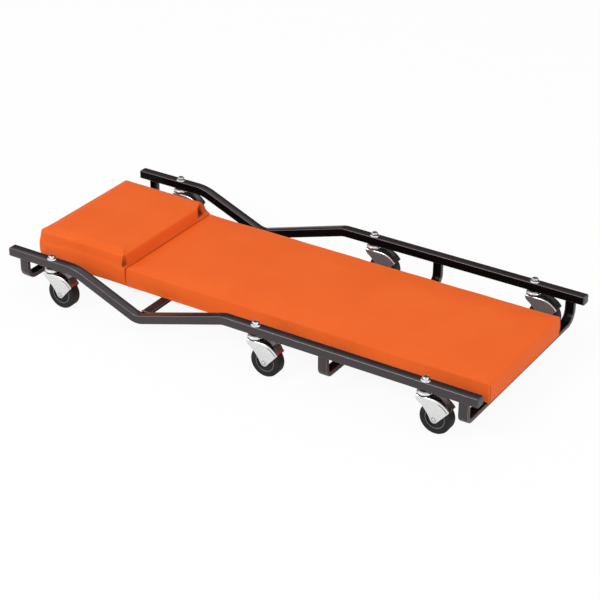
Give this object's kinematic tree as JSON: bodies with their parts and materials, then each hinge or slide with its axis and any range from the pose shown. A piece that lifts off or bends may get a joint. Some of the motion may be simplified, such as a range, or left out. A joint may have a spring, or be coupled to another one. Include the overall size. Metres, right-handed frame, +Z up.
{
  "type": "welding creeper",
  "caption": "Low padded creeper with a raised headrest, on two dipped tube rails joined by channel cross members, rolling on swivel casters.",
  "frame": {"origin": "on the floor under the middle of the creeper's length and width, all casters trailing towards the foot end", "axes": "+X towards the foot end, +Y across to the side without brakes, +Z up"},
  "size_m": [1.016, 0.45, 0.103],
  "materials": {
    "charcoal_paint": "satin charcoal powder coat",
    "black_plastic": "matte",
    "orange_vinyl": "smooth orange vinyl, soft sheen",
    "foam": "open-cell polyurethane foam",
    "plywood": "raw",
    "bright_zinc": "bright zinc plate",
    "bearing_steel": "polished balls in grease",
    "hub_plastic": "moulded, satin",
    "black_rubber": "matte rubber",
    "red_lever": "red paint on pressed steel"
  },
  "bodies": {
    "frame": {"near_rail": "charcoal_paint", "far_rail": "charcoal_paint", "near_head_plug": "black_plastic", "near_foot_plug": "black_plastic", "far_head_plug": "black_plastic", "far_foot_plug": "black_plastic", "head_cross_member": "charcoal_paint", "middle_cross_member": "charcoal_paint", "foot_cross_member": "charcoal_paint", "dip_tie_bar": "charcoal_paint", "main_pad_board": "plywood", "main_pad_foam": "foam", "main_pad_cover": "orange_vinyl", "headrest_pad_board": "plywood", "headrest_pad_foam": "foam", "headrest_pad_cover": "orange_vinyl", "near_head_stem": "bright_zinc", "near_head_stem_nut": "bright_zinc", "near_head_swivel_balls": "bearing_steel", "near_middle_stem": "bright_zinc", "near_middle_stem_nut": "bright_zinc", "near_middle_swivel_balls": "bearing_steel", "near_foot_stem": "bright_zinc", "near_foot_stem_nut": "bright_zinc", "near_foot_swivel_balls": "bearing_steel", "far_head_stem": "bright_zinc", "far_head_stem_nut": "bright_zinc", "far_head_swivel_balls": "bearing_steel", "far_middle_stem": "bright_zinc", "far_middle_stem_nut": "bright_zinc", "far_middle_swivel_balls": "bearing_steel", "far_foot_stem": "bright_zinc", "far_foot_stem_nut": "bright_zinc", "far_foot_swivel_balls": "bearing_steel"},
    "near_head_swivel_fork": {"near_head_fork": "bright_zinc", "near_head_axle": "bright_zinc"},
    "near_head_wheel": {"near_head_hub": "hub_plastic", "near_head_tyre": "black_rubber"},
    "near_head_brake": {"near_head_brake_lever": "red_lever"},
    "near_middle_swivel_fork": {"near_middle_fork": "bright_zinc", "near_middle_axle": "bright_zinc"},
    "near_middle_wheel": {"near_middle_hub": "hub_plastic", "near_middle_tyre": "black_rubber"},
    "near_middle_brake": {"near_middle_brake_lever": "red_lever"},
    "near_foot_swivel_fork": {"near_foot_fork": "bright_zinc", "near_foot_axle": "bright_zinc"},
    "near_foot_wheel": {"near_foot_hub": "hub_plastic", "near_foot_tyre": "black_rubber"},
    "far_head_swivel_fork": {"far_head_fork": "bright_zinc", "far_head_axle": "bright_zinc"},
    "far_head_wheel": {"far_head_hub": "hub_plastic", "far_head_tyre": "black_rubber"},
    "far_middle_swivel_fork": {"far_middle_fork": "bright_zinc", "far_middle_axle": "bright_zinc"},
    "far_middle_wheel": {"far_middle_hub": "hub_plastic", "far_middle_tyre": "black_rubber"},
    "far_foot_swivel_fork": {"far_foot_fork": "bright_zinc", "far_foot_axle": "bright_zinc"},
    "far_foot_wheel": {"far_foot_hub": "hub_plastic", "far_foot_tyre": "black_rubber"}
  },
  "joints": [
    {"name": "near_head_swivel", "type": "hinge", "parent": "frame", "child": "near_head_swivel_fork", "pos_m": [-0.4088, -0.21, 0.0685], "axis": [0, 0, 1], "continuous": true},
    {"name": "near_head_roll", "type": "hinge", "parent": "near_head_swivel_fork", "child": "near_head_wheel", "pos_m": [-0.3835, -0.21, 0.03], "axis": [0, 1, 0], "continuous": true},
    {"name": "near_head_brake_turn", "type": "hinge", "parent": "near_head_swivel_fork", "child": "near_head_brake", "pos_m": [-0.36379, -0.21, 0.05597], "axis": [0, 1, 0], "range_deg": [0, 26]},
    {"name": "near_middle_swivel", "type": "hinge", "parent": "frame", "child": "near_middle_swivel_fork", "pos_m": [0.0567, -0.21, 0.0685], "axis": [0, 0, 1], "continuous": true},
    {"name": "near_middle_roll", "type": "hinge", "parent": "near_middle_swivel_fork", "child": "near_middle_wheel", "pos_m": [0.082, -0.21, 0.03], "axis": [0, 1, 0], "continuous": true},
    {"name": "near_middle_brake_turn", "type": "hinge", "parent": "near_middle_swivel_fork", "child": "near_middle_brake", "pos_m": [0.10171, -0.21, 0.05597], "axis": [0, 1, 0], "range_deg": [0, 26]},
    {"name": "near_foot_swivel", "type": "hinge", "parent": "frame", "child": "near_foot_swivel_fork", "pos_m": [0.4028, -0.21, 0.0685], "axis": [0, 0, 1], "continuous": true},
    {"name": "near_foot_roll", "type": "hinge", "parent": "near_foot_swivel_fork", "child": "near_foot_wheel", "pos_m": [0.4281, -0.21, 0.03], "axis": [0, 1, 0], "continuous": true},
    {"name": "far_head_swivel", "type": "hinge", "parent": "frame", "child": "far_head_swivel_fork", "pos_m": [-0.4088, 0.21, 0.0685], "axis": [0, 0, 1], "continuous": true},
    {"name": "far_head_roll", "type": "hinge", "parent": "far_head_swivel_fork", "child": "far_head_wheel", "pos_m": [-0.3835, 0.21, 0.03], "axis": [0, 1, 0], "continuous": true},
    {"name": "far_middle_swivel", "type": "hinge", "parent": "frame", "child": "far_middle_swivel_fork", "pos_m": [0.0567, 0.21, 0.0685], "axis": [0, 0, 1], "continuous": true},
    {"name": "far_middle_roll", "type": "hinge", "parent": "far_middle_swivel_fork", "child": "far_middle_wheel", "pos_m": [0.082, 0.21, 0.03], "axis": [0, 1, 0], "continuous": true},
    {"name": "far_foot_swivel", "type": "hinge", "parent": "frame", "child": "far_foot_swivel_fork", "pos_m": [0.4028, 0.21, 0.0685], "axis": [0, 0, 1], "continuous": true},
    {"name": "far_foot_roll", "type": "hinge", "parent": "far_foot_swivel_fork", "child": "far_foot_wheel", "pos_m": [0.4281, 0.21, 0.03], "axis": [0, 1, 0], "continuous": true}
  ]
}
